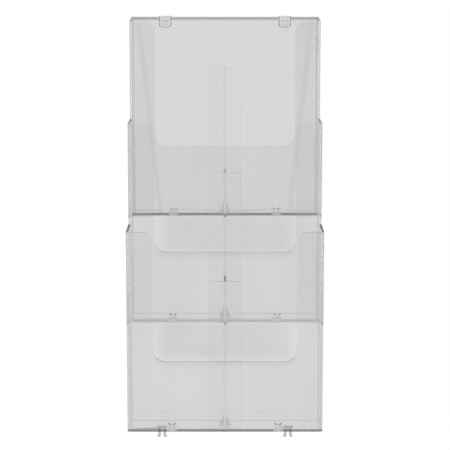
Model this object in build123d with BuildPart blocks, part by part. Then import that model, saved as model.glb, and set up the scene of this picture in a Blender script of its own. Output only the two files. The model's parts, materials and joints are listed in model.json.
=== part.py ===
"""Wall-hung brochure rack: three clear moulded pockets in a cascade.

Each lower pocket stands one pocket depth further from the wall and one tier lower.
A lift-out divider splits every pocket in two. Two hanger clips hook over the top rim
at the wall screws, snap clips tie each pocket's ledge to the floor above it, and two
forks under the lowest pocket take a further rack.

Frame: X to the right, +Y towards the wall, +Z up, millimetres. The origin is midway
between the two wall-screw holes, on the wall plane.
"""
import os

from build123d import *

os.makedirs("parts", exist_ok=True)

# Pockets
tiers = 3
pocket_width = 235.0
pocket_depth = 44.0
back_height = 246.0
tier_drop = 126.0
side_wall = 3.0
back_wall = 2.5
front_wall = 2.5
floor_wall = 3.0
outer_corner_radius = 4.0
inner_corner_radius = 1.5
back_corner_radius = 2.0

# Front opening of a pocket
lip_height = 86.0
flange_width = 31.0
lip_corner_radius = 15.0
ear_radius = 12.0
wing_height = 242.0
top_wing_height = 239.0

# Rim of the top pocket, and ledges of the pockets below it
rim_height = 4.5
rim_depth = 4.5
rim_nose_radius = 2.0
ledge_depth = 14.0
ledge_wall = 1.5

# Wall screws and hanger clips
screw_spacing = 150.0
screw_radius = 2.25
screw_below_top = 9.0
clip_width = 15.5
clip_wall = 2.0
hook_wall = 1.2
hook_fold_radius = 0.9
clip_plate_drop = 4.0
clip_leg_width = 3.2
clip_leg_spacing = 5.4
clip_leg_length = 4.0
clip_corner_radius = 2.5

# Snap clips between the tiers
link_spacing = 128.0
link_setback = 8.0
link_base_wall = 1.2
link_depth = 3.0
link_leg_width = 2.6
link_leg_spacing = 7.2
link_barb = 0.6
link_barb_height = 1.0
link_head_height = 5.0
link_head_top_width = 9.5
link_head_bottom_width = 4.5
link_head_notch = 3.0

# Forks under the lowest pocket
fork_base_wall = 2.5
fork_leg_width = 3.2
fork_leg_spacing = 6.2
fork_reach = 8.5
fork_toe = 0.9
fork_toe_height = 2.4

# Dividers
divider_height = 180.0
divider_flange_width = 39.0
divider_flange_wall = 2.0
divider_corner_radius = 5.0
web_wall = 2.5
web_rise = 1.0
foot_width = 13.5
foot_height = 15.0
foot_depth = 8.0
tab_length = 14.0

# Clearances, and how far clip and fork bases lap over their slots
slot_gap = 0.2
slide_gap = 0.3
web_back_gap = 0.5
boss_gap = 0.5
tab_gap = 0.4
base_lap = 0.7
base_gap = 0.6

# Worked out from the sizes above
inner_width = pocket_width - 2 * side_wall
inner_depth = pocket_depth - back_wall - front_wall
link_slot_width = link_leg_spacing + link_leg_width + 2 * slot_gap
link_slot_depth = link_depth + 2 * slot_gap
link_base_width = link_slot_width + 2 * base_lap
fork_slot_width = fork_leg_spacing + fork_leg_width + 2 * slot_gap
fork_base_width = fork_slot_width + 2 * base_lap
fork_spacing = link_spacing + link_base_width + fork_base_width + 2 * base_gap
boss_radius = screw_below_top - rim_height - boss_gap
tab_depth = floor_wall - tab_gap
flange_face = pocket_depth - front_wall - slide_gap
web_back = rim_depth + web_back_gap
tab_middle = (flange_face + web_back) / 2
left_and_right = {"left": -1, "right": 1}


def tier_seat(tier):
    """Middle of the lower back edge of a pocket; tier 0 is the top one."""
    return Vector(0, -tier * pocket_depth, screw_below_top - back_height - tier * tier_drop)


def front_view(seat):
    """Plane seen from the front: local x right, local y up, extruding away from the wall."""
    return Plane(origin=seat, x_dir=(1, 0, 0), z_dir=(0, -1, 0))


def side_view(seat):
    """Plane seen from the side: local x away from the wall, local y up."""
    return Plane(origin=seat, x_dir=(0, -1, 0), z_dir=(-1, 0, 0))


def top_view(seat):
    """Plane seen from above: local x right, local y towards the wall."""
    return Plane(origin=seat)


def make_pocket(tier):
    """One clear tray: floor, back, two side walls and a front with a dipped opening."""
    seat = tier_seat(tier)
    is_top = tier == 0
    wing_top = top_wing_height if is_top else wing_height
    half_opening = pocket_width / 2 - flange_width
    half_reach = half_opening + 2 * ear_radius
    with BuildPart() as pocket:
        # Outside block, whose top slopes down to the front flanges
        with BuildSketch(side_view(seat)):
            with BuildLine():
                Polyline(
                    (0, 0),
                    (pocket_depth, 0),
                    (pocket_depth, wing_top),
                    (pocket_depth - front_wall, wing_top),
                    (0, back_height),
                    close=True,
                )
            make_face()
        extrude(amount=pocket_width / 2, both=True)
        front_corners = pocket.edges().filter_by(Axis.Z).group_by(Axis.Y)[0]
        fillet(front_corners, outer_corner_radius)

        # Hollow
        with BuildSketch(top_view(seat).offset(floor_wall)):
            with Locations((0, -back_wall)):
                Rectangle(inner_width, inner_depth, align=(Align.CENTER, Align.MAX))
            fillet(vertices().group_by(Axis.Y)[0], inner_corner_radius)
            fillet(vertices().group_by(Axis.Y)[-1], back_corner_radius)
        extrude(amount=max(back_height, wing_top), mode=Mode.SUBTRACT)

        # Dipped front opening between the two wings
        with BuildSketch(front_view(seat).offset(pocket_depth - front_wall)):
            with BuildLine():
                Polyline(
                    (-half_opening, lip_height),
                    (half_opening, lip_height),
                    (half_opening, wing_top),
                    (half_reach, wing_top),
                    (half_reach, wing_top + ear_radius),
                    (-half_reach, wing_top + ear_radius),
                    (-half_reach, wing_top),
                    (-half_opening, wing_top),
                    close=True,
                )
            make_face()
            fillet(vertices().group_by(Axis.Y)[0], lip_corner_radius)
            ear_corners = vertices().group_by(Axis.Y)[-2].sort_by(Axis.X)[1:3]
            fillet(ear_corners, ear_radius)
        extrude(amount=front_wall, mode=Mode.SUBTRACT)

        if is_top:
            # Round-nosed rim along the top of the back
            with BuildSketch(side_view(seat)):
                with Locations((0, back_height)):
                    Rectangle(rim_depth, rim_height, align=(Align.MIN, Align.MAX))
                fillet(vertices().group_by(Axis.X)[-1], rim_nose_radius)
            extrude(amount=inner_width / 2, both=True)
            # Wall-screw holes through the back
            with BuildSketch(front_view(seat)):
                with Locations((0, back_height - screw_below_top)):
                    with GridLocations(screw_spacing, 0, 2, 1):
                        Circle(screw_radius)
            extrude(amount=back_wall, mode=Mode.SUBTRACT)
        else:
            # The back stops level with the floor above, and turns into a ledge under it
            with BuildSketch(front_view(seat)):
                with Locations((0, tier_drop)):
                    Rectangle(inner_width, back_height, align=(Align.CENTER, Align.MIN))
            extrude(amount=back_wall + back_corner_radius, mode=Mode.SUBTRACT)
            with BuildSketch(top_view(seat).offset(tier_drop - ledge_wall)):
                Rectangle(inner_width, ledge_depth, align=(Align.CENTER, Align.MIN))
                with Locations((0, link_setback)):
                    with GridLocations(link_spacing, 0, 2, 1):
                        Rectangle(link_slot_width, link_slot_depth, mode=Mode.SUBTRACT)
            extrude(amount=ledge_wall)

        # Slots in the floor: snap clips, divider tab, and the forks of the lowest tier
        with BuildSketch(top_view(seat)):
            with Locations((0, link_setback - pocket_depth)):
                with GridLocations(link_spacing, 0, 2, 1):
                    Rectangle(link_slot_width, link_slot_depth)
                if tier == tiers - 1:
                    with GridLocations(fork_spacing, 0, 2, 1):
                        Rectangle(fork_slot_width, link_slot_depth)
            with Locations((0, -tab_middle)):
                Rectangle(web_wall + 2 * slide_gap, tab_length + 2 * slide_gap)
        extrude(amount=floor_wall, mode=Mode.SUBTRACT)
    return pocket.part


def make_divider(tier):
    """Lift-out T-shaped partition: front flange, web, braced foot and locating tab."""
    seat = tier_seat(tier)
    flange_top = floor_wall + divider_height
    with BuildPart() as divider:
        with BuildSketch(front_view(seat).offset(flange_face - divider_flange_wall)):
            with Locations((0, floor_wall)):
                Rectangle(divider_flange_width, divider_height, align=(Align.CENTER, Align.MIN))
            fillet(vertices().group_by(Axis.Y)[-1], divider_corner_radius)
        extrude(amount=divider_flange_wall)

        with BuildSketch(side_view(seat)):
            with BuildLine():
                Polyline(
                    (web_back, floor_wall),
                    (flange_face, floor_wall),
                    (flange_face, flange_top),
                    (flange_face - divider_flange_wall, flange_top),
                    (web_back, flange_top + web_rise),
                    close=True,
                )
            make_face()
        extrude(amount=web_wall / 2, both=True)

        with BuildSketch(front_view(seat).offset(tab_middle - foot_depth / 2)):
            with BuildLine():
                Polyline(
                    (-foot_width / 2, floor_wall),
                    (foot_width / 2, floor_wall),
                    (0, floor_wall + foot_height),
                    close=True,
                )
            make_face()
        extrude(amount=foot_depth)

        with BuildSketch(top_view(seat).offset(floor_wall - tab_depth)):
            with Locations((0, -tab_middle)):
                Rectangle(web_wall, tab_length)
        extrude(amount=tab_depth)
    return divider.part


def make_hanger_clip(side):
    """Clip that hooks over the rim and is held by a wall screw through its spacer boss."""
    hole = Vector(side * screw_spacing / 2, 0, 0)
    with BuildPart() as clip:
        with BuildSketch(front_view(hole).offset(rim_depth)):
            with Locations((0, -clip_plate_drop)):
                Rectangle(
                    clip_width,
                    clip_plate_drop + screw_below_top + hook_wall,
                    align=(Align.CENTER, Align.MIN),
                )
            fillet(vertices().group_by(Axis.Y)[0], clip_corner_radius)
            with Locations((0, -clip_plate_drop)):
                with GridLocations(clip_leg_spacing, 0, 2, 1):
                    Rectangle(clip_leg_width, clip_leg_length, align=(Align.CENTER, Align.MAX))
        extrude(amount=clip_wall)

        with BuildSketch(front_view(hole)):
            with Locations((0, screw_below_top)):
                Rectangle(clip_width, hook_wall, align=(Align.CENTER, Align.MIN))
        extrude(amount=rim_depth + clip_wall)
        outer_fold = clip.edges().filter_by(Axis.X).group_by(Axis.Z)[-1].sort_by(Axis.Y)[0]
        fillet(outer_fold, hook_fold_radius)

        with BuildSketch(front_view(hole).offset(back_wall)):
            Circle(boss_radius)
        extrude(amount=rim_depth - back_wall)

        with BuildSketch(front_view(hole).offset(back_wall)):
            Circle(screw_radius)
        extrude(amount=rim_depth - back_wall + clip_wall, mode=Mode.SUBTRACT)
    return clip.part


def make_link_clip(tier, side):
    """Snap clip: notched head on the floor, two barbed legs through floor and ledge."""
    seat = tier_seat(tier)
    back_face = pocket_depth - link_setback - link_depth / 2
    centre = Vector(side * link_spacing / 2, seat.Y - back_face, seat.Z)
    base_top = floor_wall + link_base_wall
    outer_leg = (link_leg_spacing + link_leg_width) / 2
    inner_leg = (link_leg_spacing - link_leg_width) / 2
    tip = -ledge_wall - link_barb_height
    with BuildPart() as clip:
        with BuildSketch(front_view(centre)):
            with Locations((0, floor_wall)):
                Rectangle(link_base_width, link_base_wall, align=(Align.CENTER, Align.MIN))
            with BuildLine():
                Polyline(
                    (-link_head_bottom_width / 2, base_top),
                    (link_head_bottom_width / 2, base_top),
                    (link_head_top_width / 2, base_top + link_head_height),
                    (0, base_top + link_head_height - link_head_notch),
                    (-link_head_top_width / 2, base_top + link_head_height),
                    close=True,
                )
            make_face()
            for hand in (-1, 1):
                with BuildLine():
                    Polyline(
                        (hand * inner_leg, floor_wall),
                        (hand * outer_leg, floor_wall),
                        (hand * outer_leg, -ledge_wall),
                        (hand * (outer_leg + link_barb), -ledge_wall),
                        (hand * (outer_leg - link_barb), tip),
                        (hand * inner_leg, tip),
                        close=True,
                    )
                make_face()
        extrude(amount=link_depth)
    return clip.part


def make_stack_fork(side):
    """Fork standing in the lowest floor, whose two toed legs reach out below it."""
    seat = tier_seat(tiers - 1)
    back_face = pocket_depth - link_setback - link_depth / 2
    centre = Vector(side * fork_spacing / 2, seat.Y - back_face, seat.Z)
    outer_leg = (fork_leg_spacing + fork_leg_width) / 2
    inner_leg = (fork_leg_spacing - fork_leg_width) / 2
    with BuildPart() as fork:
        with BuildSketch(front_view(centre)):
            with Locations((0, floor_wall)):
                Rectangle(fork_base_width, fork_base_wall, align=(Align.CENTER, Align.MIN))
            for hand in (-1, 1):
                with BuildLine():
                    Polyline(
                        (hand * inner_leg, floor_wall),
                        (hand * outer_leg, floor_wall),
                        (hand * outer_leg, fork_toe_height - fork_reach),
                        (hand * (outer_leg + fork_toe), fork_toe_height - fork_reach),
                        (hand * (outer_leg + fork_toe), -fork_reach),
                        (hand * (inner_leg + fork_toe), -fork_reach),
                        (hand * inner_leg, fork_toe_height - fork_reach),
                        close=True,
                    )
                make_face()
        extrude(amount=link_depth)
    return fork.part


def save(piece, name):
    """Label a finished piece and write it as one STEP file."""
    piece.label = name
    export_step(piece, f"parts/{name}.step")


for tier, tier_name in enumerate(("top", "middle", "bottom")):
    save(make_pocket(tier), f"{tier_name}_pocket")
    save(make_divider(tier), f"{tier_name}_divider")
    for hand_name, side in left_and_right.items():
        save(make_link_clip(tier, side), f"{tier_name}_{hand_name}_link_clip")

for hand_name, side in left_and_right.items():
    save(make_hanger_clip(side), f"{hand_name}_hanger_clip")
    save(make_stack_fork(side), f"{hand_name}_stack_fork")
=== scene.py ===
import json
import math

import bmesh
import bpy
from mathutils import Matrix, Vector


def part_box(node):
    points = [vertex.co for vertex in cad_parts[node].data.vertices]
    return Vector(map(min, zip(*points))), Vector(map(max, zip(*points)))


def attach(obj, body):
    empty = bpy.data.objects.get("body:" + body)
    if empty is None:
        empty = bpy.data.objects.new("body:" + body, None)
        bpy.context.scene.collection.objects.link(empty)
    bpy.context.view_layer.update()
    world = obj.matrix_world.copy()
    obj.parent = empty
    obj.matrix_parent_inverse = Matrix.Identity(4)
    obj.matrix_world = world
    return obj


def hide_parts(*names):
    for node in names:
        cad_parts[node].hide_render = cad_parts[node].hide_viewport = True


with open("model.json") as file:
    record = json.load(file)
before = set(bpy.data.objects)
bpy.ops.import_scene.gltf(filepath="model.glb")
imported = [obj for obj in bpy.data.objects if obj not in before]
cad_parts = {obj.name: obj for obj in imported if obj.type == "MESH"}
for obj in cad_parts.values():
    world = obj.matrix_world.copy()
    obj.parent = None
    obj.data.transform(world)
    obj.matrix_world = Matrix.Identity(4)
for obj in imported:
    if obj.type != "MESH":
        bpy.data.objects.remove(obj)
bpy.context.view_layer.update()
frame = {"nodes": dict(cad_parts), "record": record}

bodies = frame["record"]["behaviour"]["bodies"]
body_of_node = {node: body for body, nodes in bodies.items() for node in nodes}

# ---- Camera -----------------------------------------------------------------------------
# A long lens stands far back and a little above the middle of the rack, so that the tiers
# widen only slightly towards the front. It aims just below the middle of the pockets.
top_back_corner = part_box("top_pocket")[1]
low_front_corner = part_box("bottom_pocket")[0]
rack_middle = (top_back_corner + low_front_corner) / 2
rack_middle.x = 0.0
camera_distance = 1.573
camera_rise = math.radians(7.19)
aim_below_middle = 0.0065
camera_lens = 102.2
camera_sensor_width = 36.0
camera_reach = 50.0
most_bounces = 32

camera_data = bpy.data.cameras.new("studio_camera")
camera_data.lens = camera_lens
camera_data.sensor_width = camera_sensor_width
camera_data.clip_end = camera_reach
camera = bpy.data.objects.new("studio_camera", camera_data)
bpy.context.scene.collection.objects.link(camera)
aim = rack_middle - Vector((0, 0, aim_below_middle))
back_off = Vector((0, -math.cos(camera_rise), math.sin(camera_rise)))
camera.location = aim + back_off * camera_distance
camera.rotation_euler = (math.radians(90) - camera_rise, 0, 0)
bpy.context.scene.camera = camera
bpy.context.scene.view_settings.view_transform = "Standard"

# Light crosses many clear walls, and turns back inside them, before it leaves the rack
bpy.context.scene.cycles.max_bounces = most_bounces
bpy.context.scene.cycles.transmission_bounces = most_bounces
bpy.context.scene.cycles.glossy_bounces = most_bounces

# ---- Studio room ------------------------------------------------------------------------
# A white sweep all round. Clear plastic is lit against it with dark flags standing off to
# the sides, above and below, which draw a thin dark line along every rounded edge.
sweep_white = (1.0, 1.0, 1.0, 1.0)
room_behind = (0.755, 0.755, 0.751, 1.0)
room_beside = (0.62, 0.62, 0.62, 1.0)
room_flag = (0.48, 0.48, 0.48, 1.0)
room_front = (0.62, 0.62, 0.62, 1.0)
# Tone by place, from 0 in front to 1 behind, with the dark flags on either side of the middle
room_bands = (
    (0.150, room_front),
    (0.215, room_flag),
    (0.345, room_flag),
    (0.395, room_beside),
    (0.605, room_beside),
    (0.655, room_flag),
    (0.785, room_flag),
    (0.850, room_behind),
)


def feed(tree, socket, source):
    """Links a socket to another one, or sets it to a plain value."""
    if isinstance(source, bpy.types.NodeSocket):
        tree.links.new(source, socket)
    else:
        socket.default_value = source


def add_node(tree, kind, **settings):
    """Adds a node with its own settings, such as its operation."""
    node = tree.nodes.new(kind)
    for setting, value in settings.items():
        setattr(node, setting, value)
    return node


def add_range(tree, value, low, high, to_low=0.0, to_high=1.0, interpolation="LINEAR"):
    """Maps a value's span from low to high onto the span from to_low to to_high."""
    span = add_node(tree, "ShaderNodeMapRange", interpolation_type=interpolation)
    for socket, source in (
        ("Value", value), ("From Min", low), ("From Max", high),
        ("To Min", to_low), ("To Max", to_high),
    ):
        feed(tree, span.inputs[socket], source)
    return span.outputs["Result"]


def add_ramp(tree, value, stops):
    """Colours a value by stops, each a place from 0 to 1 and a tone."""
    ramp = add_node(tree, "ShaderNodeValToRGB")
    feed(tree, ramp.inputs["Fac"], value)
    elements = ramp.color_ramp.elements
    first_stops = len(elements)
    for number, (place, tone) in enumerate(stops):
        if number < first_stops:
            stop = elements[number]
            stop.position = place
        else:
            stop = elements.new(place)
        stop.color = tone
    return ramp.outputs["Color"]


def white_to_the_eye(tree, shader_kind, output_kind):
    """Looks plain white when seen directly, and gives back the shader that the plastic sees."""
    seen = add_node(tree, shader_kind)
    seen.inputs["Color"].default_value = sweep_white
    lit = add_node(tree, shader_kind)
    path = add_node(tree, "ShaderNodeLightPath")
    pick = add_node(tree, "ShaderNodeMixShader")
    output = add_node(tree, output_kind)
    tree.links.new(path.outputs["Is Camera Ray"], pick.inputs["Fac"])
    tree.links.new(lit.outputs[0], pick.inputs[1])
    tree.links.new(seen.outputs[0], pick.inputs[2])
    tree.links.new(pick.outputs[0], output.inputs["Surface"])
    return lit


world = bpy.data.worlds.new("studio_room")
bpy.context.scene.world = world
world.use_nodes = True
room = world.node_tree
room.nodes.clear()
room_lit = white_to_the_eye(room, "ShaderNodeBackground", "ShaderNodeOutputWorld")
room_place = add_node(room, "ShaderNodeTexCoord")
room_split = add_node(room, "ShaderNodeSeparateXYZ")
room.links.new(room_place.outputs["Generated"], room_split.inputs["Vector"])
room_depth = add_range(room, room_split.outputs["Y"], -1.0, 1.0)
room.links.new(add_ramp(room, room_depth, room_bands), room_lit.inputs["Color"])

# Softboxes, which glint on the plastic but are not seen through it
for name, place, width, height, power in (
    ("softbox_left", (-1.3, -1.1, 0.3), 0.7, 1.4, 12.0),
    ("softbox_right", (1.3, -1.1, 0.3), 0.7, 1.4, 12.0),
    ("softbox_top", (0.0, -0.5, 1.4), 1.4, 0.7, 10.0),
):
    lamp_data = bpy.data.lights.new(name, "AREA")
    lamp_data.shape = "RECTANGLE"
    lamp_data.size = width
    lamp_data.size_y = height
    lamp_data.energy = power
    lamp = bpy.data.objects.new(name, lamp_data)
    bpy.context.scene.collection.objects.link(lamp)
    lamp.location = rack_middle + Vector(place)
    lamp.rotation_euler = (rack_middle - lamp.location).to_track_quat("-Z", "Y").to_euler()
    lamp.visible_transmission = False

# ---- Floor ------------------------------------------------------------------------------
# The rack hangs at its working height above a plain pale floor, which is blown out to the
# same white as the sweep.
floor_below = 1.45
floor_size = 4.0
floor_squares = 4
floor_pale = (0.66, 0.66, 0.655, 1.0)

shaped = bmesh.new()
bmesh.ops.create_grid(
    shaped, x_segments=floor_squares, y_segments=floor_squares, size=floor_size / 2,
    matrix=Matrix.Translation(rack_middle - Vector((0, 0, floor_below))),
)
floor_mesh = bpy.data.meshes.new("pale_floor")
shaped.to_mesh(floor_mesh)
shaped.free()
pale_floor = bpy.data.objects.new("pale_floor", floor_mesh)
bpy.context.scene.collection.objects.link(pale_floor)

floor_paint = bpy.data.materials.new("pale_floor_paint")
floor_paint.use_nodes = True
floor_paint.node_tree.nodes.clear()
floor_lit = white_to_the_eye(
    floor_paint.node_tree, "ShaderNodeEmission", "ShaderNodeOutputMaterial"
)
floor_lit.inputs["Color"].default_value = floor_pale
pale_floor.data.materials.append(floor_paint)

# ---- Pockets ----------------------------------------------------------------------------
# Three trays injection-moulded in clear general-purpose polystyrene. Edges come out of the
# tool with a small radius, and the flow of the melt leaves faint clouds and drawn lines.
pocket_edge_radius = 0.0004
seam_relief = 0.00003
sharp_edge = math.radians(40)
flat_enough = math.radians(0.5)
same_place = 1e-6
nearby = 0.001
margin = Vector((nearby, nearby, nearby))
polystyrene_ior = 1.59


def add_sum(tree, operation, *terms):
    """Works out one sum, in which each term is a socket or a plain number."""
    node = add_node(tree, "ShaderNodeMath", operation=operation)
    for socket, term in zip(node.inputs, terms):
        feed(tree, socket, term)
    return node.outputs["Value"]


def add_noise(tree, place, scale, detail, stretch_down=1.0):
    """Adds a soft random pattern, drawn out downwards as stretch_down falls below 1."""
    if stretch_down != 1.0:
        stretch = add_node(tree, "ShaderNodeMapping")
        tree.links.new(place, stretch.inputs["Vector"])
        stretch.inputs["Scale"].default_value = (1.0, 1.0, stretch_down)
        place = stretch.outputs["Vector"]
    noise = add_node(tree, "ShaderNodeTexNoise")
    tree.links.new(place, noise.inputs["Vector"])
    feed(tree, noise.inputs["Scale"], scale)
    noise.inputs["Detail"].default_value = detail
    return noise.outputs["Fac"]


def lay_over(tree, under, over, amount):
    """Lays one tone over another by an amount, and gives back the mixed tone."""
    mix = add_node(tree, "ShaderNodeMix", data_type="RGBA")
    feed(tree, mix.inputs["A"], under)
    feed(tree, mix.inputs["B"], over)
    feed(tree, mix.inputs["Factor"], amount)
    return mix.outputs["Result"]


# The flow of the melt, shared by every clear piece: its tone with its painted shade, its polish
# and its relief
flow = bpy.data.node_groups.new("moulded_flow_and_painted_shade", "ShaderNodeTree")
for in_out, kind, names in (
    ("INPUT", "NodeSocketColor", ("Clear", "Cloud")),
    ("INPUT", "NodeSocketFloat", ("Cloud Size", "Polish", "Scuff", "Ledge Shade", "Weld", "Edge Shade")),
    ("OUTPUT", "NodeSocketColor", ("Color",)),
    ("OUTPUT", "NodeSocketFloat", ("Roughness", "Height")),
):
    for name in names:
        flow.interface.new_socket(name=name, in_out=in_out, socket_type=kind)
flow_in = add_node(flow, "NodeGroupInput")
flow_out = add_node(flow, "NodeGroupOutput")
flow_place = add_node(flow, "ShaderNodeTexCoord").outputs["Object"]
flow_axes = add_node(flow, "ShaderNodeSeparateXYZ")
flow.links.new(flow_place, flow_axes.inputs["Vector"])
flow_across = add_sum(flow, "ABSOLUTE", flow_axes.outputs["X"])

# Clouds in the wall, stretched down the direction of flow
cloud_stretch = 0.45
cloud_detail = 3.0
cloud_begins = 0.38
cloud_full = 0.66
cloud = add_noise(
    flow, flow_place, flow_in.outputs["Cloud Size"], cloud_detail, cloud_stretch
)
clouded = lay_over(
    flow, flow_in.outputs["Clear"], flow_in.outputs["Cloud"],
    add_range(flow, cloud, cloud_begins, cloud_full),
)

# Painted shade inside the opening below each ledge, mottled by the clouds
ledge_shade_depth = 0.040
ledge_shade_start = 0.004
ledge_shade_fade = 0.010
ledge_shade_half_width = 0.070
ledge_shade_tone = (0.30, 0.30, 0.30, 1.0)
ledge_shade_blotch_begins = 0.35
ledge_shade_blotch_full = 0.65
ledge_shade_thinnest = 0.75
ledge_shade_thickest = 1.15
rack_tall = top_back_corner.z - low_front_corner.z
ledge_shade_stops = []
for upper in ("middle", "top"):
    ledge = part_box(f"{upper}_pocket")[0].z
    for height, amount in (
        (ledge - ledge_shade_depth - ledge_shade_fade, 0.0), (ledge - ledge_shade_depth, 1.0),
        (ledge - ledge_shade_start, 1.0), (ledge, 0.0),
    ):
        place = (height - low_front_corner.z) / rack_tall
        ledge_shade_stops.append((place, (amount, amount, amount, 1.0)))
ledge_shade_height = add_range(
    flow, flow_axes.outputs["Z"], low_front_corner.z, top_back_corner.z
)
ledge_shade_band = add_ramp(flow, ledge_shade_height, ledge_shade_stops)
ledge_shade_inside = add_range(
    flow, flow_across, ledge_shade_half_width, ledge_shade_half_width + 2 * ledge_shade_fade,
    to_low=1.0, to_high=0.0, interpolation="SMOOTHSTEP",
)
ledge_shade_blotch = add_range(
    flow, cloud, ledge_shade_blotch_begins, ledge_shade_blotch_full, ledge_shade_thinnest, ledge_shade_thickest
)
ledge_shade_in_place = add_sum(flow, "MULTIPLY", ledge_shade_band, ledge_shade_inside)
ledge_shade_mottled = add_sum(flow, "MULTIPLY", ledge_shade_in_place, ledge_shade_blotch)
ledge_shade_amount = add_sum(flow, "MULTIPLY", ledge_shade_mottled, flow_in.outputs["Ledge Shade"])
ledge_shaded = lay_over(flow, clouded, ledge_shade_tone, ledge_shade_amount)

# Painted shadow: a dark band running down and inwards from each top corner
slant_shadow_at_top = 0.1070
slant_shadow_slope = 0.109
slant_shadow_half_width = 0.0050
slant_shadow_tone = (0.30, 0.30, 0.30, 1.0)
slant_shadow_line = add_sum(flow, "MULTIPLY_ADD", flow_axes.outputs["Z"], slant_shadow_slope, slant_shadow_at_top)
slant_shadow_off = add_sum(flow, "ABSOLUTE", add_sum(flow, "SUBTRACT", flow_across, slant_shadow_line))
slant_shadow_shape = add_range(
    flow, slant_shadow_off, 0.0, slant_shadow_half_width,
    to_low=1.0, to_high=0.0, interpolation="SMOOTHSTEP",
)
slant_shadow_amount = add_sum(flow, "MULTIPLY", slant_shadow_shape, flow_in.outputs["Weld"])
slant_shadowed = lay_over(flow, ledge_shaded, slant_shadow_tone, slant_shadow_amount)

# Painted shade: faces marked on their edge layer, rounded edges and chosen strips, are darkened
# towards a dark grey
edge_shade_tone = (0.13, 0.13, 0.13, 1.0)
edge_shaded = lay_over(flow, slant_shadowed, edge_shade_tone, flow_in.outputs["Edge Shade"])
flow.links.new(edge_shaded, flow_out.inputs["Color"])

# Polish: glossy, with dull patches where leaflets have been pushed in and out
scuff_scale = 60.0
scuff_detail = 4.0
scuff_begins = 0.45
scuff_full = 0.75
scuff = add_noise(flow, flow_place, scuff_scale, scuff_detail)
scuff_shape = add_range(flow, scuff, scuff_begins, scuff_full)
dulled = add_sum(
    flow, "MULTIPLY_ADD", scuff_shape, flow_in.outputs["Scuff"], flow_in.outputs["Polish"]
)
flow.links.new(dulled, flow_out.inputs["Roughness"])

# Drawn lines of the flow, and the slow wave of a wall that cooled unevenly
wave_scale = 26.0
wave_detail = 2.0
wave_stretch = 0.30
wave = add_noise(flow, flow_place, wave_scale, wave_detail, wave_stretch)
flow.links.new(wave, flow_out.inputs["Height"])


def clear_plastic(
    name, clear, cloud_colour, cloud_size, polish, scuff_depth, wave_depth, smoke,
    ledge_shade=0.0, slant_shadow=0.0,
):
    """Clear polystyrene, with the finish that its tool and its use have left on it, and painted
    shade.
    """
    plastic = bpy.data.materials.new(name)
    plastic.use_nodes = True
    tree = plastic.node_tree
    shell = tree.nodes["Principled BSDF"]
    shell.inputs["IOR"].default_value = polystyrene_ior
    shell.inputs["Metallic"].default_value = 0.0
    shell.inputs["Transmission Weight"].default_value = 1.0
    finish = tree.nodes.new("ShaderNodeGroup")
    finish.node_tree = flow
    for socket, value in (
        ("Clear", clear), ("Cloud", cloud_colour), ("Cloud Size", cloud_size),
        ("Polish", polish), ("Scuff", scuff_depth), ("Ledge Shade", ledge_shade), ("Weld", slant_shadow),
    ):
        finish.inputs[socket].default_value = value
    # Painted shade, read from each face's edge mark
    edge_mark = tree.nodes.new("ShaderNodeAttribute")
    edge_mark.attribute_name = "edge"
    tree.links.new(edge_mark.outputs["Fac"], finish.inputs["Edge Shade"])
    relief = tree.nodes.new("ShaderNodeBump")
    relief.inputs["Distance"].default_value = wave_depth
    relief.inputs["Strength"].default_value = 1.0
    body_smoke = tree.nodes.new("ShaderNodeVolumeAbsorption")
    body_smoke.inputs["Color"].default_value = (0.0, 0.0, 0.0, 1.0)
    body_smoke.inputs["Density"].default_value = smoke
    tree.links.new(finish.outputs["Color"], shell.inputs["Base Color"])
    tree.links.new(finish.outputs["Roughness"], shell.inputs["Roughness"])
    tree.links.new(finish.outputs["Height"], relief.inputs["Height"])
    tree.links.new(relief.outputs["Normal"], shell.inputs["Normal"])
    tree.links.new(body_smoke.outputs[0], tree.nodes["Material Output"].inputs["Volume"])
    return plastic


def moulded_copy(node_name, edge_radius, edge_darkness, rounds=3, cuts=(), dark_places=()):
    """A copy of a CAD piece with its moulded edges rounded, and a hair smaller all over.

    The rounded faces are marked with edge_darkness, a painted shade. Once the cuts are made, so
    are the faces whose middles lie in a dark place of painted shade, given as low corner, high
    corner and darkness.
    """
    mesh = frame["nodes"][node_name].data.copy()
    shaped = bmesh.new()
    shaped.from_mesh(mesh)
    bmesh.ops.remove_doubles(shaped, verts=shaped.verts, dist=same_place)
    bmesh.ops.dissolve_limit(
        shaped, angle_limit=flat_enough, verts=shaped.verts, edges=shaped.edges
    )
    sharp = [
        edge for edge in shaped.edges
        if edge.is_manifold and edge.calc_face_angle() > sharp_edge
    ]
    mark = shaped.faces.layers.float.new("edge")
    rounded = bmesh.ops.bevel(
        shaped, geom=sharp, offset=edge_radius, offset_type="OFFSET", segments=rounds,
        profile=0.5, affect="EDGES", material=-1, clamp_overlap=True,
    )
    for face in rounded["faces"]:
        face[mark] = edge_darkness
    for cut_place, cut_normal in cuts:
        bmesh.ops.bisect_plane(
            shaped, geom=shaped.verts[:] + shaped.edges[:] + shaped.faces[:], dist=same_place,
            plane_co=cut_place, plane_no=cut_normal,
        )
    for low, high, darkness in dark_places:
        for face in shaped.faces:
            middle = face.calc_center_median()
            if all(low[axis] < middle[axis] < high[axis] for axis in range(3)):
                face[mark] = darkness
    bmesh.ops.recalc_face_normals(shaped, faces=shaped.faces)
    shaped.normal_update()
    for corner in shaped.verts:
        corner.co -= corner.normal * seam_relief
    for face in shaped.faces:
        face.smooth = True
    shaped.to_mesh(mesh)
    shaped.free()
    mesh.materials.clear()
    return mesh


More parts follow.
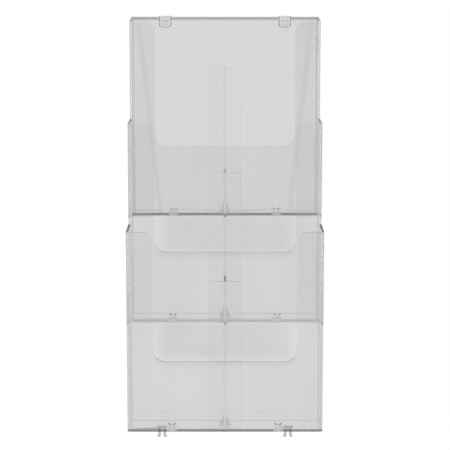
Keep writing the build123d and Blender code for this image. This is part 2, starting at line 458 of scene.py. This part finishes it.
def set_in_place(mesh, name, plastic, node_name):
    """Puts a finished piece in the scene, in place of its CAD piece and on its body."""
    piece = bpy.data.objects.new(name, mesh)
    bpy.context.scene.collection.objects.link(piece)
    mesh.materials.append(plastic)
    even = piece.modifiers.new("even_normals", "WEIGHTED_NORMAL")
    even.keep_sharp = False
    even.weight = 50
    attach(piece, body_of_node[node_name])
    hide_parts(node_name)
    return piece


pocket_floor_wall = 0.003
pocket_corner = 0.0042
pocket_edge_darkness = 0.0
side_skin = 0.0006
lip_height = 0.086
lip_half_width = 0.0880
lip_band = 0.006
slot_darkness_share = 0.45
rim_depth = 0.0047
rim_nose = 0.0023
rim_tall = 0.0036
rim_darkness = 0.78
hangers = (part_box("left_hanger_clip"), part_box("right_hanger_clip"))
# Each tier's tones of wall and cloud, which differ tier by tier as painted shade, how yellow
# they are, then the painted shade on its outer sides, its front lip and its floor along their
# edges, and the strength of its painted shade under the ledge and of its painted slanting
# shadow
for (
    tier, wall_tone, cloud_tone, warmth,
    side_darkness, lip_darkness, floor_darkness, ledge_shade, slant_shadow,
) in (
    ("top", 0.940, 0.914, 0.993, 0.35, 0.12, 1.0, 0.0, 0.07),
    ("middle", 0.957, 0.927, 1.002, 0.10, 0.45, 0.55, 0.15, 0.0),
    ("bottom", 0.968, 0.938, 1.002, 0.06, 0.30, 1.0, 0.17, 0.0),
):
    node = f"{tier}_pocket"
    low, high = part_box(node)
    floor_top = low.z + pocket_floor_wall
    outer_low = low - margin
    outer_high = high + margin
    cuts = [((0, 0, floor_top), (0, 0, 1))]
    # Painted shade on the outer sides, along the front of the floor, lighter at the clip slots,
    # and along the front lip
    dark_places = [
        (outer_low, (low.x + side_skin, outer_high.y, outer_high.z), side_darkness),
        ((high.x - side_skin, outer_low.y, outer_low.z), outer_high, side_darkness),
        (
            outer_low,
            (outer_high.x, low.y + pocket_corner, floor_top + seam_relief),
            floor_darkness,
        ),
        (
            (-lip_half_width, outer_low.y, low.z + lip_height - nearby),
            (lip_half_width, low.y + pocket_corner, low.z + lip_height + lip_band),
            lip_darkness,
        ),
    ]
    for hand in ("left", "right"):
        snap_low, snap_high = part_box(f"{tier}_{hand}_link_clip")
        cuts += [((snap_low.x, 0, 0), (1, 0, 0)), ((snap_high.x, 0, 0), (1, 0, 0))]
        dark_places.append((
            (snap_low.x, outer_low.y, outer_low.z),
            (snap_high.x, low.y + pocket_corner, floor_top + seam_relief),
            floor_darkness * slot_darkness_share,
        ))
    if tier == "top":
        # Painted shade: the rim is darkened between the hanger clips and on either side of them
        cuts += [((hanger[end].x, 0, 0), (1, 0, 0)) for end in (0, 1) for hanger in hangers]
        left, right = hangers
        for start, end in (
            (low.x, left[0].x), (left[1].x, right[0].x), (right[1].x, high.x),
        ):
            dark_places.append((
                (start, -rim_depth, high.z - rim_tall),
                (end, -rim_nose, outer_high.z),
                rim_darkness,
            ))
    pocket = moulded_copy(
        node, pocket_edge_radius, pocket_edge_darkness, cuts=cuts, dark_places=dark_places
    )
    # The wall and cloud tones differ tier by tier as painted shade, darkest in the top tier
    pocket_plastic = clear_plastic(
        f"clear_{tier}_pocket_polystyrene",
        clear=(wall_tone, wall_tone, wall_tone * warmth, 1.0),
        cloud_colour=(cloud_tone, cloud_tone, cloud_tone * warmth, 1.0),
        cloud_size=14.0, polish=0.006, scuff_depth=0.02, wave_depth=0.00012, smoke=1.5,
        ledge_shade=ledge_shade, slant_shadow=slant_shadow,
    )
    set_in_place(pocket, f"{tier}_pocket_tray", pocket_plastic, node)

# ---- Dividers ---------------------------------------------------------------------------
# Lift-out T partitions in the same plastic, moulded thinner and cleaner than the pockets.
# The tab under each foot drops into the slot in the pocket's floor.
divider_edge_radius = 0.00018
# Painted shade darkens the rounded edges of the front flange and the tab under each foot; the
# web is kept clear
divider_edge_darkness = 0.45
divider_flange_wall = 0.0023
foot_darkness = 0.22
foot_tall = 0.019
foot_half_width = 0.0075
divider_plastic = clear_plastic(
    "clear_divider_polystyrene",
    clear=(1.0, 1.0, 1.0, 1.0), cloud_colour=(0.985, 0.985, 0.985, 1.0),
    cloud_size=22.0, polish=0.006, scuff_depth=0.015, wave_depth=0.00008, smoke=1.0,
)
for tier in ("top", "middle", "bottom"):
    node = f"{tier}_divider"
    low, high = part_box(node)
    clear_web = (
        (low.x - nearby, low.y + divider_flange_wall, low.z - nearby), high + margin, 0.0,
    )
    foot = (
        (-foot_half_width, low.y + divider_flange_wall, low.z),
        (foot_half_width, high.y - nearby, low.z + foot_tall),
        foot_darkness,
    )
    divider = moulded_copy(
        node, divider_edge_radius, divider_edge_darkness, dark_places=[clear_web, foot]
    )
    set_in_place(divider, f"{tier}_divider_panel", divider_plastic, node)

# ---- Hanger clips -----------------------------------------------------------------------
# Clips folded over the rim at the wall screws, in a harder clear plastic with full round
# edges. A ribbed cap pushed into the screw hole closes it and gives the thumb a grip.
clip_edge_radius = 0.0007
# Painted shade darkens the clip's rounded edges and the guard round its plate
clip_edge_darkness = 0.60
clip_leg_length = 0.0040
guard_width = 0.0012
guard_proud = 0.0007
guard_edge_radius = 0.0003
guard_corner = 0.0026
guard_mitre = math.radians(45)
guard_darkness = 0.50
guard_foot_proud = 0.0004
cap_width = 0.0080
cap_height = 0.0105
cap_proud = 0.0007
cap_rib_count = 3
cap_rib_height = 0.0019
cap_rib_proud = 0.0012
cap_rib_radius = 0.0008
cap_edge_radius = 0.0004
clip_plastic = clear_plastic(
    "clear_clip_polystyrene",
    clear=(0.995, 0.995, 0.995, 1.0), cloud_colour=(0.950, 0.950, 0.950, 1.0),
    cloud_size=160.0, polish=0.02, scuff_depth=0.04, wave_depth=0.00010, smoke=6.0,
)


def rounded_bar(shaped, low, high, radius, lean=0.0, darkness=0.0):
    """Adds a bar between two corners, with all its edges rounded, leaning about its middle."""
    faces_before = set(shaped.faces)
    bar = bmesh.ops.create_cube(shaped, size=1.0)["verts"]
    bmesh.ops.scale(shaped, vec=high - low, verts=bar)
    bmesh.ops.rotate(shaped, cent=(0, 0, 0), matrix=Matrix.Rotation(lean, 3, "Y"), verts=bar)
    bmesh.ops.translate(shaped, vec=(low + high) / 2, verts=bar)
    corners = set(bar)
    edges = [edge for edge in shaped.edges if corners.issuperset(edge.verts)]
    bmesh.ops.bevel(
        shaped, geom=edges, offset=radius, offset_type="OFFSET", segments=3,
        profile=0.5, affect="EDGES", material=-1, clamp_overlap=True,
    )
    mark = shaped.faces.layers.float["edge"]
    for face in shaped.faces:
        if face not in faces_before:
            face[mark] = darkness


for hand in ("left", "right"):
    node = f"{hand}_hanger_clip"
    clip = moulded_copy(node, clip_edge_radius, clip_edge_darkness)
    low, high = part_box(node)
    middle_x = (low.x + high.x) / 2
    plate_foot = low.z + clip_leg_length
    plate_front = low.y + seam_relief * 2
    guard_front = plate_front - guard_proud
    shaped = bmesh.new()
    shaped.from_mesh(clip)

    # Guard: a raised lip round the sides and foot of the plate, mitred at its corners, its
    # sides and mitres darkened with painted shade
    for side in (-1, 1):
        outer = middle_x + side * (high.x - low.x) / 2
        inner = outer - side * guard_width
        rounded_bar(
            shaped,
            Vector((min(outer, inner), guard_front, plate_foot + guard_corner)),
            Vector((max(outer, inner), plate_front, high.z)),
            guard_edge_radius, darkness=guard_darkness,
        )
        mitre = Vector((
            outer - side * (guard_corner + guard_width / 2) / 2,
            (guard_front + plate_front) / 2,
            plate_foot + (guard_corner + guard_width / 2) / 2,
        ))
        half = Vector((guard_corner * math.sqrt(0.5), guard_proud / 2, guard_width / 2))
        rounded_bar(
            shaped, mitre - half, mitre + half,
            guard_edge_radius, lean=-side * guard_mitre, darkness=guard_darkness,
        )
    rounded_bar(
        shaped,
        Vector((low.x + guard_corner, plate_front - guard_foot_proud, plate_foot)),
        Vector((high.x - guard_corner, plate_front, plate_foot + guard_width)),
        guard_foot_proud / 2,
    )

    # Cap over the screw hole, with three thumb ribs across it
    rounded_bar(
        shaped,
        Vector((middle_x - cap_width / 2, plate_front - cap_proud, -cap_height / 2)),
        Vector((middle_x + cap_width / 2, plate_front, cap_height / 2)),
        cap_edge_radius / 2,
    )
    for rib in range(cap_rib_count):
        height = (rib - (cap_rib_count - 1) / 2) * cap_height / cap_rib_count
        rounded_bar(
            shaped,
            Vector((
                middle_x - cap_width / 2 + cap_edge_radius,
                plate_front - cap_proud - cap_rib_proud,
                height - cap_rib_height / 2,
            )),
            Vector((
                middle_x + cap_width / 2 - cap_edge_radius,
                plate_front - cap_proud + cap_edge_radius,
                height + cap_rib_height / 2,
            )),
            cap_rib_radius,
        )
    for face in shaped.faces:
        face.smooth = True
    shaped.to_mesh(clip)
    shaped.free()
    set_in_place(clip, f"{hand}_hanger", clip_plastic, node)

# ---- Snap clips between the tiers -------------------------------------------------------
# Small barbed clips pressed down through each floor and the ledge of the next pocket. The
# notched head stays up inside the pocket as a grip.
snap_edge_radius = 0.0005
# Painted shade darkens the rounded edges, the head above its base, and the top of the head most
# of all
snap_edge_darkness = 0.60
snap_head_darkness = 0.80
snap_top_shade_tall = 0.0022
snap_top_shade = 1.0
snap_base_top = 0.0045
for tier in ("top", "middle", "bottom"):
    for hand in ("left", "right"):
        node = f"{tier}_{hand}_link_clip"
        low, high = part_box(node)
        pocket_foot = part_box(f"{tier}_pocket")[0].z
        top_shade_foot = high.z - snap_top_shade_tall
        dark_places = [
            ((low.x - nearby, low.y - nearby, foot), high + margin, darkness)
            for foot, darkness in (
                (pocket_foot + snap_base_top, snap_head_darkness),
                (top_shade_foot, snap_top_shade),
            )
        ]
        snap = moulded_copy(
            node, snap_edge_radius, snap_edge_darkness,
            cuts=[((0, 0, top_shade_foot), (0, 0, 1))], dark_places=dark_places,
        )
        set_in_place(snap, f"{tier}_{hand}_snap", clip_plastic, node)

# ---- Stacking forks ---------------------------------------------------------------------
# Two forks stand in the lowest floor with their toed legs hanging clear below it, ready to
# spring into the rim of another rack.
fork_edge_radius = 0.0007
# Painted shade darkens the rounded edges, and the legs below the floor all over but more
# lightly
fork_edge_darkness = 0.55
fork_leg_darkness = 0.35
for hand in ("left", "right"):
    node = f"{hand}_stack_fork"
    low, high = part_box(node)
    legs = (
        low - margin,
        (high.x + nearby, high.y + nearby, low_front_corner.z + nearby),
        fork_leg_darkness,
    )
    fork = moulded_copy(node, fork_edge_radius, fork_edge_darkness, dark_places=[legs])
    set_in_place(fork, f"{hand}_fork", clip_plastic, node)
